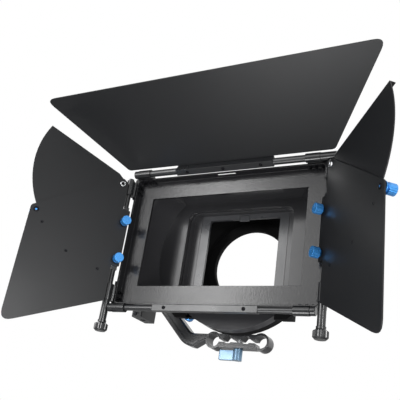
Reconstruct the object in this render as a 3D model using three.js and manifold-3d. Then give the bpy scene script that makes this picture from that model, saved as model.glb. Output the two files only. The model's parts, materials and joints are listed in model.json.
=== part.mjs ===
// A swing-away matte box for 15 mm rods, with a top flag, two side flags that each carry a folding fan,
// a filter tray in a rotating stage, and a bent support arm that ends in the rod clamp.
// Millimetres. X is to the right as seen from the front, Y runs back towards the camera lens, Z is up.
// The origin is midway between the two rod bores, on the front face of the clamp.
import * as THREE from "three";
import { mergeVertices } from "three/addons/utils/BufferGeometryUtils.js";
import Module from "manifold-3d";

const wasm = await Module();
wasm.setup();

// Shared clearances
const gap = 0.3; // between pieces that touch or turn in each other
const cutOver = 2; // how far a cut runs past the surface it opens
const weld = 0.0001; // vertices nearer than this are one vertex

// Rod clamp
const rodSpacing = 60;
const rodRadius = 7.5;
const boreSlack = 0.05;
const clampWall = 2.5;
const clampDepth = 16;
const jawHalfHeight = 8;
const slotHeight = 3.5;
const lobeOffset = 11.5;
const lobeHalfWidth = 6.5;
const lobeHalfHeight = 4.5;
const lobeRise = 1.5;

// Swing arm: a square bar with one bend and a groove along its front
const armWidth = 16;
const armDrop = 0.5; // its centreline below the rods' plane
const armCorner = 64.5; // where the two straight centrelines meet, left of the origin
const armBend = 20; // bend radius of the centreline
const armBendAngle = 45; // degrees
const armEdge = 2.2;
const grooveWidth = 5;
const grooveDepth = 1.2;
const grooveStart = 47;
const grooveShort = 13; // the groove stops this far before the swing pin

// Swing hinge
const swingReach = 137.75; // pin axis left of the origin
const swingPinRadius = 3;
const swingPinHead = 5;
const swingPinHeadHeight = 2.4;
const eyeRadius = 8;
const eyeBelow = 31.75; // how far the eye reaches below the arm's end
const eyeAbove = 18.25; // and above it
const cheek = 17; // thickness of the block's two cheeks
const blockWidth = 14.5;
const blockFront = 9; // in front of the clamp's face
const blockBack = 25; // behind it
const blockSpine = 1; // back of the spine, in front of the clamp's face
const blockEdge = 1.2;

// Clamp lever
const leverScrewRadius = 2.5;
const leverScrewReach = 14;
const leverPostRadius = 5.5;
const leverPostHeight = 13;
const leverWingLength = 23;
const leverWingThickness = 6;
const leverWingDrop = 1.7;

// Filter stages, measured from the optical axis
const stageRadius = 90;
const rodDrop = 5.75; // between the stage's rim and the rods' plane
const stageDepth = 13.5;
const stageFrontWall = 8;
const stageBackWall = 1.5;
const stageOpeningHalfWidth = 68;
const stageOpeningHalfHeight = 56.5;
const stageOpeningCorner = 12;
const stageThroatRadius = 68;
const hubRadius = 78;
const hubWall = 4;
const hubDepth = 9.5;
const ringDepth = 11.2;
const ringToClamp = 1;
const housingRadius = 84;
const housingEndRadius = 66;
const housingWall = 3;
const housingDepth = 16; // behind the ring
const lensBore = 58.3;
const lensRadius = 47;
const lensFlange = 62;
const lensFlangeDepth = 4;
const lugNear = 55;
const lugFar = 79;
const lugSlope = 9.5; // of its outer end
const lugLow = 77.5; // below the optical axis
const lugFoot = 7; // length of its deep front end
const lugRear = 72.2; // low edge behind that
const lugHigh = 65.75;
const lugClearance = 0.8; // round the turning stage
const lockOut = 70;
const lockLow = 67.5;
const lockBite = 11;
const earLow = 30;
const earHigh = 8;
const bridgeNear = 92;
const bridgeFar = 117;

// Front stage frame and the filter tray
const frameDepth = 4;
const frameHalfWidth = 78;
const frameHalfHeight = 65;
const frameCorner = 5;
const slotHalfWidth = 58;
const trayLow = 60;
const trayHigh = 70;
const trayCorner = 2.5;
const trayWindowHalfWidth = 46.5;
const trayWindowHalfHeight = 50;
const trayWindowCorner = 1.5;
const trayHandleHalfWidth = 23;
const trayHandleHeight = 28;
const trayHandleLip = 2.2;
const clipHalfWidth = 6.6;
const clipHeight = 7.5;
const clipThickness = 1.5;
const clipOverhang = 2.6;

// Hood: a drum about the optical axis, clipped flat above and below
const hoodLength = 42.9;
const hoodWall = 3;
const hoodNeck = 104.8; // outer radius at the rear
const hoodInset = 5; // its side inside the bezel's side
const hoodStraight = 8.4; // length of the hood that stays at full radius
const hoodHalfHeight = 70;
const hoodWindowHalfWidth = 69;
const hoodWindowHalfHeight = 57;
const hoodWindowCorner = 12;

// Front bezel: a face with a wide opening, set back inside a rim
const bezelWidth = 242.4;
const bezelHeight = 159.2;
const bezelRise = 1.2; // its middle above the optical axis
const bezelCorner = 6;
const bezelThickness = 3;
const rimDepth = 9;
const rimSide = 2.4;
const rimTop = 1.7;
const rimSlotHalfWidth = 11.8; // a slot through the rim's upper wall
const rimSlotDepth = 4;
const rimSlotInset = 2.4;
const skirtWall = 2.5;
const skirtDepth = 11;
const openingHalfWidth = 98.6;
const openingHalfHeight = 55.7;

// Hinge bars and the corner brackets that carry them
const hingeReach = 5.2; // hinge axes in front of the rim
const hingeRise = 4.95; // top and bottom axes beyond half the bezel's height
const pinStandOff = 5.3; // side axes outside the bezel's edge
const barRadius = 3.25;
const barSquare = 7;
const topBarRadius = 4;
const topBarSquare = 8;
const barSquareHalf = 61.6;
const sleeveRadius = 5.2;
const sleeveStart = 98.5;
const sleeveLength = 16.5;
const capRadius = 4.8;
const capLength = 5.4;
const longCapLength = 17; // at the top bar's right end
const bracketThickness = 2.2;
const bracketDepth = 20;
const bracketReach = 27;
const bracketWeb = 6; // the web to a sleeve starts this far behind the bracket's front
const webShare = 0.9; // of a sleeve's radius
const sideSleeveLow = 57; // from the optical axis
const sideSleeveHigh = 76;
const sideSquareHalf = 40;
const sideBarTop = 3; // stands above the upper sleeve
const sideStemRadius = 4.25;
const sideStemLength = 22.8;
const stemNeckRadius = 4.9;
const stemNeckHeight = 2.6;
const stemKnobRadius = 7.7;
const stemKnobHeight = 9.8;
const stemKnobEdge = 2;
const stemStudRadius = 2;
const stemStudLength = 9;

// Flags
const sheet = 1.5; // flag thickness
const fanSheet = 1.2;
const topFlagAngle = 28; // degrees above level
const topFlagStart = 5; // inner edge in front of the hinge axis
const topFlagReach = 117.3;
const topFlagInnerHalf = 130.7;
const topFlagOuterHalf = 202.1;
const topFlagInnerCorner = 4;
const topFlagOuterCorner = 13;
const topTabHalf = 61.3;
const topTabBack = 2.5;
const leftFlagAngle = 53.5; // degrees forward from straight out
const rightFlagAngle = 46.5;
const flagStart = 4.2;
const flagReach = 110.5;
const flagLowInner = 78.2; // below the optical axis
const flagLowAngle = 24.8;
const flagTopAngle = 34.4;
const flagCorner = 15;
const flagTabBack = 5;
const flagTabHalf = 35.5;
const knobSpacing = 47;
const knobDrop = 4; // their middle below the optical axis

// Fans
const pivotOut = 11.5; // fan pivot, out from the hinge axis
const pivotUp = 67; // and above the optical axis
const pivotMargin = 6.5; // flag material above the pivot
const pivotSlope = 31; // degrees, the inner corner beside it
const fanInset = 1.5; // its rim inside the flag's outer edge
const leftFanAngle = 18.7; // degrees, upper edge above level
const rightFanAngle = 16.7;
const fanLowAngle = 37; // degrees, lower edge below level
const fanRise = 10.4; // upper edge above the pivot
const fanHeel = 6.5; // and lower edge below it
const fanHub = 3;
const fanHubRise = 5.5;
const fanChamfer = 10;
const fanTabLength = 9;
const fanTabHeight = 5;
const guideStandOff = 3; // guides outside the fan's rim
const guideAngles = [42.8, 64.4, 85.7]; // degrees below level
const guideStem = 1.5;
const guideHead = 4.5;
const guideHeadHeight = 1;
const fanKnobAngle = 34.6;
const rivetRadius = 2;
const rivetHead = 3.2;
const rivetHeadHeight = 0.6;

// Thumb screws
const knobRadius = 5.75;
const knobLength = 7.6;
const knobNose = 2.5;
const knobShank = 1.9;
const knobBite = 7; // how far the shank goes into the bar
const knobWasher = 6;
const knobWasherHeight = 1;
const knurlDepthShare = 0.07;
const knurlCount = 18;
const stemKnurlCount = 26;

// Facets
const fine = 72;
const medium = 36;
const coarse = 20;

// Places worked out from the sizes above
const opticalHeight = stageRadius + rodDrop;
const boreRadius = rodRadius + boreSlack;
const clampEnd = boreRadius + clampWall;
const ringBack = -ringToClamp;
const ringFront = ringBack - ringDepth;
const stageBack = ringFront - gap;
const stageFront = stageBack - stageDepth;
const hubBack = stageBack + hubDepth;
const frameBack = stageFront - gap;
const frameFront = frameBack - frameDepth;
const hoodBack = frameFront - gap;
const hoodFront = hoodBack - hoodLength;
const bezelBack = hoodFront - gap;
const bezelFront = bezelBack - bezelThickness;
const rimFront = bezelFront - rimDepth;
const hoodRadius = bezelWidth / 2 - hoodInset;
const hingeY = rimFront - hingeReach;
const hingeZ = bezelHeight / 2 + hingeRise;
const pinX = bezelWidth / 2 + pinStandOff;
const housingBack = ringBack + housingDepth;
const slotFront = stageFront + stageFrontWall;
const slotBack = stageBack - stageBackWall;
const trayFront = slotFront + gap;
const trayBack = slotBack - gap;
const swingX = -swingReach;
const swingY = clampDepth / 2;
const armEnd = (swingReach - armCorner) * Math.tan(THREE.MathUtils.degToRad(armBendAngle)) - armDrop;
const eyeLow = armEnd - eyeBelow;
const eyeHigh = armEnd + eyeAbove;
const blockLow = eyeLow - blockSpine - cheek;
const blockHigh = eyeHigh + blockSpine + cheek;
const flagFace = -barSquare / 2 - gap; // outer face of a side flag, in its own frame
const flagInner = flagFace - sheet;
const fanRadius = flagReach - fanInset;
const guideRadius = fanRadius + guideStandOff;
const fanNear = flagFace + gap;
const fanFar = fanNear + fanSheet;
const radians = THREE.MathUtils.degToRad;

const finishes = {
  blackSheet: { color: 0x2b2c2e, roughness: 0.55, metalness: 0.6 },
  blackPlastic: { color: 0x3c3d40, roughness: 0.7, metalness: 0.0 },
  darkAluminium: { color: 0x343538, roughness: 0.4, metalness: 0.9 },
  greyAluminium: { color: 0x8b8d90, roughness: 0.35, metalness: 0.9 },
  steel: { color: 0xb9bbbe, roughness: 0.3, metalness: 1.0 },
  blue: { color: 0x1b76c8, roughness: 0.35, metalness: 0.9 },
  paleBlue: { color: 0x9fc4e0, roughness: 0.35, metalness: 0.9 },
};

// Turns a closed geometry into a solid that can be joined and cut.
function solid(geometry) {
  const bare = geometry.index ? geometry.toNonIndexed() : geometry.clone();
  for (const name of Object.keys(bare.attributes)) {
    if (name !== "position") bare.deleteAttribute(name);
  }
  const merged = mergeVertices(bare, weld);
  const corners = merged.index.array;
  const kept = [];
  for (let i = 0; i < corners.length; i += 3) {
    const [a, b, c] = corners.slice(i, i + 3);
    if (a !== b && b !== c && c !== a) kept.push(a, b, c);
  }
  return new wasm.Manifold(
    new wasm.Mesh({
      numProp: 3,
      vertProperties: merged.attributes.position.array,
      triVerts: new Uint32Array(kept),
    }),
  );
}

function geometryOf(body) {
  const { numProp, numVert, vertProperties, triVerts } = body.getMesh();
  const places = new Float32Array(numVert * 3);
  for (let i = 0; i < numVert; i++) {
    places.set(vertProperties.subarray(i * numProp, i * numProp + 3), i * 3);
  }
  const geometry = new THREE.BufferGeometry();
  geometry.setAttribute("position", new THREE.BufferAttribute(places, 3));
  geometry.setIndex(new THREE.BufferAttribute(triVerts, 1));
  geometry.computeVertexNormals();
  return geometry;
}

function join(first, ...rest) {
  return rest.reduce((whole, piece) => whole.add(piece), first);
}

function cut(first, ...tools) {
  return tools.reduce((whole, tool) => whole.subtract(tool), first);
}

function named(name, body, finish) {
  const mesh = new THREE.Mesh(
    geometryOf(body),
    new THREE.MeshStandardMaterial(finishes[finish]),
  );
  mesh.name = name;
  return mesh;
}

// A closed outline from corners [x, y] or [x, y, how far from the corner its rounding starts].
function outline(corners) {
  const shape = new THREE.Shape();
  const points = corners.map(([x, y]) => new THREE.Vector2(x, y));
  points.forEach((corner, i) => {
    const round = corners[i][2] || 0;
    const before = points[(i + points.length - 1) % points.length];
    const after = points[(i + 1) % points.length];
    const enter = before.clone().sub(corner).setLength(round).add(corner);
    const leave = after.clone().sub(corner).setLength(round).add(corner);
    if (i === 0) shape.moveTo(enter.x, enter.y);
    else shape.lineTo(enter.x, enter.y);
    if (round) shape.quadraticCurveTo(corner.x, corner.y, leave.x, leave.y);
  });
  return shape;
}

function rectangle(left, low, right, high, round = 0) {
  return outline([
    [left, low, round],
    [right, low, round],
    [right, high, round],
    [left, high, round],
  ]);
}

// Extrusions along Y, Z and X: the outline's own axes are X and Z, X and Y, or Y and Z.
function alongY(shape, front, back, curveSegments = 6) {
  const depth = back - front;
  const geometry = new THREE.ExtrudeGeometry(shape, { depth, bevelEnabled: false, curveSegments });
  return solid(geometry.rotateX(Math.PI / 2).translate(0, back, 0));
}

function alongZ(shape, low, high, curveSegments = 6) {
  const depth = high - low;
  const geometry = new THREE.ExtrudeGeometry(shape, { depth, bevelEnabled: false, curveSegments });
  return solid(geometry.translate(0, 0, low));
}

function alongX(shape, left, right, curveSegments = 6) {
  const depth = right - left;
  const geometry = new THREE.ExtrudeGeometry(shape, { depth, bevelEnabled: false, curveSegments });
  const turn = new THREE.Matrix4().makeBasis(
    new THREE.Vector3(0, 1, 0),
    new THREE.Vector3(0, 0, 1),
    new THREE.Vector3(1, 0, 0),
  );
  return solid(geometry.applyMatrix4(turn).translate(left, 0, 0));
}

// Round bars along each axis, from one end to the other.
function rodY(radius, front, back, x, z, facets = medium) {
  const geometry = new THREE.CylinderGeometry(radius, radius, back - front, facets);
  return solid(geometry.translate(x, (front + back) / 2, z));
}

function rodZ(radius, low, high, x, y, facets = medium) {
  const geometry = new THREE.CylinderGeometry(radius, radius, high - low, facets);
  return solid(geometry.rotateX(Math.PI / 2).translate(x, y, (low + high) / 2));
}

function rodX(radius, left, right, y, z, facets = medium) {
  const geometry = new THREE.CylinderGeometry(radius, radius, right - left, facets);
  return solid(geometry.rotateZ(Math.PI / 2).translate((left + right) / 2, y, z));
}

// A ring or disc turned about the optical axis from a closed profile of [radius, y].
function turned(profile, facets = fine) {
  const points = [...profile, profile[0]].map(([r, y]) => new THREE.Vector2(r, y));
  return solid(new THREE.LatheGeometry(points, facets));
}

// A knurled drum along Y.
function knurled(radius, front, back, count) {
  const shape = new THREE.Shape();
  for (let i = 0; i < count * 2; i++) {
    const angle = (i / count) * Math.PI;
    const r = i % 2 ? radius : radius * (1 - knurlDepthShare);
    if (i === 0) shape.moveTo(r * Math.cos(angle), r * Math.sin(angle));
    else shape.lineTo(r * Math.cos(angle), r * Math.sin(angle));
  }
  return alongY(shape, front, back);
}

// Thumb screw whose head points along +Y; seat is the face its nose rests on, tip the shank's far end.
function thumbScrew(seat, tip, washer) {
  const noseStart = seat + (washer ? knobWasherHeight : 0);
  const headStart = noseStart + knobNose;
  const nose = turned(
    [
      [0, tip],
      [knobShank, tip],
      [knobShank, seat],
      [washer ? knobWasher : knobRadius / 2, seat],
      [washer ? knobWasher : knobRadius / 2, noseStart],
      [knobRadius / 2, noseStart],
      [knobRadius * (1 - knurlDepthShare), headStart],
      [0, headStart],
    ].filter(([r, y], i, all) => i === 0 || r !== all[i - 1][0] || y !== all[i - 1][1]),
    coarse,
  );
  return join(nose, knurled(knobRadius, headStart - weld, headStart + knobLength, knurlCount));
}

function polar(radius, degrees) {
  return [radius * Math.cos(radians(degrees)), radius * Math.sin(radians(degrees))];
}

// Root body: rod clamp and swing arm in one casting

function clampSlot() {
  const bore = (side) => rodY(boreRadius, -cutOver, clampDepth + cutOver, (side * rodSpacing) / 2, 0);
  const lobe = (side) =>
    alongY(
      outline([
        [side * lobeOffset - lobeHalfWidth, lobeRise],
        [side * lobeOffset - lobeHalfWidth / 2, lobeRise - lobeHalfHeight],
        [side * lobeOffset + lobeHalfWidth / 2, lobeRise - lobeHalfHeight],
        [side * lobeOffset + lobeHalfWidth, lobeRise],
        [side * lobeOffset + lobeHalfWidth / 2, lobeRise + lobeHalfHeight],
        [side * lobeOffset - lobeHalfWidth / 2, lobeRise + lobeHalfHeight],
      ]),
      -cutOver,
      clampDepth + cutOver,
    );
  const slot = alongY(
    rectangle(-rodSpacing / 2, -slotHeight / 2, rodSpacing / 2, slotHeight / 2),
    -cutOver,
    clampDepth + cutOver,
  );
  return join(slot, bore(-1), bore(1), lobe(-1), lobe(1));
}

// A band about the arm's centreline: level from start, round the bend, then up at an angle to end.
function armBand(halfWidth, start, end) {
  const turn = radians(armBendAngle);
  const tangent = armBend * Math.tan(turn / 2);
  const centreX = tangent - armCorner;
  const centreZ = armBend - armDrop;
  const low = -Math.PI / 2;
  const lift = halfWidth / Math.cos(turn);
  const endZ = (end - armCorner) * Math.tan(turn) - armDrop;
  const shape = new THREE.Shape();
  shape.moveTo(-start, -armDrop - halfWidth);
  shape.absarc(centreX, centreZ, armBend + halfWidth, low, low - turn, true);
  shape.lineTo(-end, endZ - lift);
  shape.lineTo(-end, endZ + lift);
  shape.absarc(centreX, centreZ, armBend - halfWidth, low - turn, low, false);
  shape.lineTo(-start, halfWidth - armDrop);
  shape.closePath();
  return shape;
}

function swingArm() {
  const halfSpacing = rodSpacing / 2;
  const jaw = alongY(rectangle(-halfSpacing, -jawHalfHeight, halfSpacing, jawHalfHeight), 0, clampDepth);
  const ends = [-1, 1].map((side) => rodY(clampEnd, 0, clampDepth, side * halfSpacing, 0));
  const bar = new THREE.ExtrudeGeometry(armBand(armWidth / 2, halfSpacing, swingReach), {
    depth: clampDepth - armEdge * 2,
    curveSegments: coarse / 2,
    bevelThickness: armEdge,
    bevelSize: armEdge,
    bevelOffset: -armEdge,
    bevelSegments: 1,
  });
  const arm = solid(bar.rotateX(Math.PI / 2).translate(0, clampDepth - armEdge, 0));
  const groove = alongY(
    armBand(grooveWidth / 2, grooveStart, swingReach - grooveShort),
    -cutOver,
    grooveDepth,
    coarse / 2,
  );
  const eye = rodZ(eyeRadius, eyeLow, eyeHigh, swingX, swingY);
  const pinBore = rodZ(swingPinRadius + gap, eyeLow - cutOver, eyeHigh + cutOver, swingX, swingY, coarse);
  const screwBore = rodZ(
    leverScrewRadius + gap,
    -jawHalfHeight - cutOver,
    leverScrewReach - jawHalfHeight + gap,
    0,
    swingY,
    coarse,
  );
  return cut(join(arm, eye, jaw, ...ends), clampSlot(), groove, pinBore, screwBore);
}

// The pin stays with the arm; the box turns on it.
function swingPin() {
  const headLow = blockHigh + gap;
  const head = rodZ(swingPinHead, headLow, headLow + swingPinHeadHeight, swingX, swingY, coarse);
  return join(head, rodZ(swingPinRadius, blockLow + blockEdge, headLow + gap, swingX, swingY, coarse));
}

function clampLever() {
  const top = -jawHalfHeight - gap;
  const post = rodZ(leverPostRadius, top - leverPostHeight, top, 0, swingY, coarse);
  const wing = alongZ(
    outline([
      [-leverWingLength, swingY - leverWingThickness / 2, leverWingThickness / 4],
      [0, swingY - leverWingThickness / 2],
      [0, swingY + leverWingThickness / 2],
      [-leverWingLength, swingY + leverWingThickness / 2, leverWingThickness / 4],
    ]),
    top - leverPostHeight,
    top - leverWingDrop,
  );
  const socket = rodZ(leverScrewRadius + gap, top - leverPostHeight / 2, top + cutOver, 0, swingY, coarse);
  return cut(join(post, wing), socket);
}

function clampScrew() {
  const low = -jawHalfHeight - leverPostHeight / 2;
  return rodZ(leverScrewRadius, low, leverScrewReach - jawHalfHeight, 0, swingY, coarse);
}

// The box: everything that swings away together

function frontBezel() {
  const side = bezelWidth / 2;
  const low = bezelRise - bezelHeight / 2;
  const high = bezelRise + bezelHeight / 2;
  const skirtBack = bezelBack + skirtDepth;
  const outer = alongY(rectangle(-side, low, side, high, bezelCorner), rimFront, skirtBack);
  const recess = alongY(
    rectangle(rimSide - side, low + rimTop, side - rimSide, high - rimTop, bezelCorner - rimTop),
    rimFront - cutOver,
    bezelFront,
  );
  const inside = alongY(
    rectangle(skirtWall - side, low + skirtWall, side - skirtWall, high - skirtWall),
    bezelBack,
    skirtBack + cutOver,
  );
  const opening = alongY(
    rectangle(
      -openingHalfWidth,
      bezelRise - openingHalfHeight,
      openingHalfWidth,
      bezelRise + openingHalfHeight,
    ),
    bezelFront - cutOver,
    bezelBack + cutOver,
  );
  const slotStart = rimFront + rimSlotInset;
  const slot = alongZ(
    rectangle(-rimSlotHalfWidth, slotStart, rimSlotHalfWidth, slotStart + rimSlotDepth),
    high - rimTop - cutOver,
    high + cutOver,
  );
  return cut(outer, recess, inside, opening, slot);
}

function hoodShell() {
  const straightEnd = hoodFront + hoodStraight;
  const clip = (half) =>
    alongY(rectangle(-bezelWidth, -half, bezelWidth, half), hoodFront - cutOver * 2, hoodBack + cutOver * 2);
  const outer = turned([
    [0, hoodFront],
    [hoodRadius, hoodFront],
    [hoodRadius, straightEnd],
    [hoodNeck, hoodBack],
    [0, hoodBack],
  ]).intersect(clip(hoodHalfHeight));
  const inner = turned([
    [0, hoodFront - cutOver],
    [hoodRadius - hoodWall, hoodFront - cutOver],
    [hoodRadius - hoodWall, straightEnd],
    [hoodNeck - hoodWall, hoodBack - hoodWall],
    [0, hoodBack - hoodWall],
  ]).intersect(clip(hoodHalfHeight - hoodWall));
  return cut(outer, inner, stageWindow(hoodBack - hoodWall - cutOver, hoodBack + cutOver));
}

// The rounded opening that the hood's rear wall and the stage frame share.
function stageWindow(front, back) {
  return alongY(
    rectangle(
      -hoodWindowHalfWidth,
      -hoodWindowHalfHeight,
      hoodWindowHalfWidth,
      hoodWindowHalfHeight,
      hoodWindowCorner,
    ),
    front,
    back,
  );
}

function stageFrame() {
  const body = alongY(
    rectangle(-frameHalfWidth, -frameHalfHeight, frameHalfWidth, frameHalfHeight, frameCorner),
    frameFront,
    frameBack,
  );
  return cut(body, stageWindow(frameFront - cutOver, frameBack + cutOver));
}

// A flat frame with a window, and a lipped handle that stands above the stage's rim.
function filterTray() {
  const inset = slotHalfWidth - gap;
  const top = trayHigh + trayHandleHeight;
  const plate = alongY(rectangle(-inset, -trayLow, inset, trayHigh, trayCorner), trayFront, trayBack);
  const handle = alongY(
    rectangle(-trayHandleHalfWidth, trayHigh - trayCorner, trayHandleHalfWidth, top, trayCorner),
    trayFront,
    trayBack,
  );
  const lip = rodX(
    trayHandleLip,
    -trayHandleHalfWidth,
    trayHandleHalfWidth,
    trayFront,
    top - trayHandleLip,
    coarse,
  );
  const window = alongY(
    rectangle(
      -trayWindowHalfWidth,
      -trayWindowHalfHeight,
      trayWindowHalfWidth,
      trayWindowHalfHeight,
      trayWindowCorner,
    ),
    trayFront - cutOver,
    trayBack + cutOver,
  );
  return cut(join(plate, handle, lip), window, clipPlate(gap));
}

// The small spring clip lies in a pocket over the window's top edge.
function clipPlate(slack) {
  const low = trayWindowHalfHeight - clipOverhang;
  return alongY(
    rectangle(-clipHalfWidth - slack, low - slack, clipHalfWidth + slack, low + clipHeight + slack),
    trayFront - (slack ? cutOver : 0),
    trayFront + clipThickness + slack,
  );
}

function rotatingStage() {
  const disc = turned([
    [0, stageFront],
    [stageRadius, stageFront],
    [stageRadius, stageBack],
    [hubRadius, stageBack],
    [hubRadius, hubBack],
    [0, hubBack],
  ]);
  const slot = alongY(
    rectangle(-slotHalfWidth, -trayLow - gap, slotHalfWidth, stageRadius + cutOver),
    slotFront,
    slotBack,
  );
  const opening = alongY(
    rectangle(
      -stageOpeningHalfWidth,
      -stageOpeningHalfHeight,
      stageOpeningHalfWidth,
      stageOpeningHalfHeight,
      stageOpeningCorner,
    ),
    stageFront - cutOver,
    slotFront + gap,
  );
  const throat = rodY(stageThroatRadius, slotBack - gap, stageBack + gap, 0, 0, fine);
  const bore = rodY(hubRadius - hubWall, stageBack, hubBack + cutOver, 0, 0, fine);
  return cut(disc, slot, opening, throat, bore);
}

// The ring the stage turns in, the housing behind it, and the lugs and ear that tie it to the hood.
function rearHousing() {
  const shell = turned([
    [hubRadius + gap, ringFront],
    [stageRadius, ringFront],
    [stageRadius, ringBack],
    [housingRadius, ringBack],
    [housingEndRadius, housingBack],
    [lensBore, housingBack],
    [lensBore, housingBack - housingWall],
    [housingEndRadius - housingWall, housingBack - housingWall],
    [hubRadius + gap, ringBack],
  ]);
  const lugs = [-1, 1].flatMap((side) => {
    const foot = outline([
      [side * lugNear, -lugLow],
      [side * (lugFar - lugSlope), -lugLow],
      [side * lugFar, lugSlope - lugLow],
      [side * lugFar, -lugHigh],
      [side * lugNear, -lugHigh],
    ]);
    const ends = [side * lugNear, side * (lugFar - lugSlope)];
    const bar = rectangle(Math.min(...ends), -lugRear, Math.max(...ends), -lugHigh);
    return [alongY(foot, frameFront, frameFront + lugFoot), alongY(bar, frameFront, ringBack)];
  });
  const bridge = alongY(rectangle(-bridgeFar, -earLow, -bridgeNear, earHigh), frameFront, -blockFront + gap);
  const ear = alongY(
    rectangle(swingX + blockWidth / 2 + gap, -earLow, -hubRadius - hubWall, earHigh),
    -blockFront,
    -blockSpine,
  );
  const stageRoom = rodY(stageRadius + lugClearance, frameFront - cutOver, ringFront, 0, 0, fine);
  const hubRoom = rodY(hubRadius + gap, ringFront - cutOver, ringBack + cutOver, 0, 0, fine);
  const lockBore = rodY(knobShank + gap, ringBack - lockBite - gap, ringBack + cutOver, -lockOut, -lockLow, coarse);
  return join(shell, cut(join(...lugs, bridge, ear), stageRoom, hubRoom)).subtract(lockBore);
}

function lockKnob() {
  const seat = ringBack + gap;
  return thumbScrew(seat, ringBack - lockBite, false).translate([-lockOut, 0, -lockLow]);
}

function lensRing() {
  return turned([
    [lensRadius, housingBack - housingWall],
    [lensBore - gap, housingBack - housingWall],
    [lensBore - gap, housingBack + gap],
    [lensFlange, housingBack + gap],
    [lensFlange, housingBack + gap + lensFlangeDepth],
    [lensRadius, housingBack + gap + lensFlangeDepth],
  ]);
}

// A fork in side view: two cheeks above and below the arm's eye, joined by a spine in front.
function hingeBlock() {
  const side = blockWidth / 2;
  const column = alongZ(
    rectangle(swingX - side, -blockFront, swingX + side, blockBack, blockEdge),
    blockLow,
    blockHigh,
  );
  const notch = alongZ(
    rectangle(swingX - blockWidth, -blockSpine, swingX + blockWidth, blockBack + cutOver),
    eyeLow - blockSpine,
    eyeHigh + blockSpine,
  );
  const pinBore = rodZ(
    swingPinRadius + gap,
    blockLow - cutOver,
    blockHigh + cutOver,
    swingX,
    swingY,
    coarse,
  );
  return cut(column, notch, pinBore).translate([0, 0, -opticalHeight]);
}

// A corner bracket for the upper right corner, wrapped round the rim's outside. The others are mirror
// images of it; up is 1 for the upper pair and -1 for the lower pair.
function cornerBracket(up, radius) {
  const top = bezelHeight / 2 + up * bezelRise + gap;
  const side = bezelWidth / 2 + gap;
  const front = rimFront + gap;
  const plate = alongY(
    outline([
      [sleeveStart, top],
      [side, top, bezelCorner],
      [side, top - bracketReach],
      [side + bracketThickness, top - bracketReach],
      [side + bracketThickness, top + bracketThickness, bezelCorner],
      [sleeveStart, top + bracketThickness],
    ]),
    front,
    front + bracketDepth,
  );
  const sleeveEnd = sleeveStart + sleeveLength;
  const upperWeb = alongX(
    outline([
      [front, top],
      [front + bracketWeb, top + bracketThickness],
      [hingeY, hingeZ + sleeveRadius * webShare],
      [hingeY, hingeZ],
    ]),
    sleeveStart,
    sleeveEnd,
  );
  const sideWeb = alongZ(
    outline([
      [side, front],
      [side + bracketThickness, front + bracketWeb],
      [pinX + sleeveRadius * webShare, hingeY],
      [pinX, hingeY],
    ]),
    sideSleeveLow,
    sideSleeveHigh,
  );
  const upperSleeve = rodX(sleeveRadius, sleeveStart, sleeveEnd, hingeY, hingeZ);
  const sideSleeve = rodZ(sleeveRadius, sideSleeveLow, sideSleeveHigh, pinX, hingeY);
  const bores = [
    rodX(radius + gap, sleeveStart - cutOver, sleeveEnd + cutOver, hingeY, hingeZ, coarse),
    rodZ(barRadius + gap, sideSleeveLow - cutOver, sideSleeveHigh + cutOver, pinX, hingeY, coarse),
  ];
  return cut(join(plate, upperWeb, sideWeb, upperSleeve, sideSleeve), ...bores);
}

// Horizontal hinge bar about its own axis: square in the middle, round in the sleeves.
function hingeBar(radius, square) {
  const end = sleeveStart + sleeveLength + gap + capLength / 2;
  const half = square / 2;
  const middle = alongX(rectangle(-half, -half, half, half), -barSquareHalf, barSquareHalf);
  return join(middle, rodX(radius, -end, end, 0, 0, coarse));
}

function barCap(radius, length) {
  const start = sleeveStart + sleeveLength + gap;
  const cap = rodX(capRadius, start, start + length, 0, 0, coarse);
  const bore = rodX(radius + gap, start - cutOver, start + capLength / 2 + gap, 0, 0, coarse);
  return cut(cap, bore);
}

// Vertical hinge bar about its own axis, with the long stem below the lower sleeve.
function sideBar() {
  const half = barSquare / 2;
  const stemTop = -sideSleeveHigh - gap;
  const middle = alongZ(rectangle(-half, -half, half, half), -sideSquareHalf, sideSquareHalf);
  const shaft = rodZ(barRadius, stemTop, sideSleeveHigh + sideBarTop, 0, 0, coarse);
  const stem = rodZ(sideStemRadius, stemTop - sideStemLength, stemTop, 0, 0, coarse);
  const studBore = rodZ(
    stemStudRadius + gap,
    stemTop - sideStemLength - cutOver,
    stemTop - sideStemLength + stemStudLength + gap,
    0,
    0,
    coarse,
  );
  return cut(join(middle, shaft, stem), studBore, ...knobBores());
}

function knobBores() {
  return [-1, 1].map((side) =>
    rodY(
      knobShank + gap,
      flagInner - cutOver,
      flagInner - gap + knobBite + gap,
      0,
      (side * knobSpacing) / 2 - knobDrop,
      coarse,
    ),
  );
}

// A plain neck above a low knurled cap.
function stemKnob() {
  const top = -sideSleeveHigh - gap - sideStemLength - gap;
  const shoulder = top - stemNeckHeight;
  const drum = knurled(stemKnobRadius, 0, stemKnobHeight, stemKnurlCount);
  const upright = drum.rotate([90, 0, 0]).translate([0, 0, shoulder - stemKnobHeight]);
  const shape = turned([
    [0, top],
    [stemNeckRadius, top],
    [stemNeckRadius, shoulder],
    [stemKnobRadius, shoulder - stemKnobEdge],
    [stemKnobRadius, shoulder - stemKnobHeight + stemKnobEdge],
    [stemKnobRadius - stemKnobEdge, shoulder - stemKnobHeight],
    [0, shoulder - stemKnobHeight],
  ].map(([r, z]) => [r, -z]), medium).rotate([-90, 0, 0]);
  const neck = rodZ(stemNeckRadius, shoulder - gap, top, 0, 0, medium);
  const stud = rodZ(stemStudRadius, top - gap, top + gap + stemStudLength, 0, 0, coarse);
  return join(upright.intersect(shape), neck, stud);
}

// Side flag in its own frame: X runs out from the hinge axis, the inner face looks along -Y.

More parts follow.
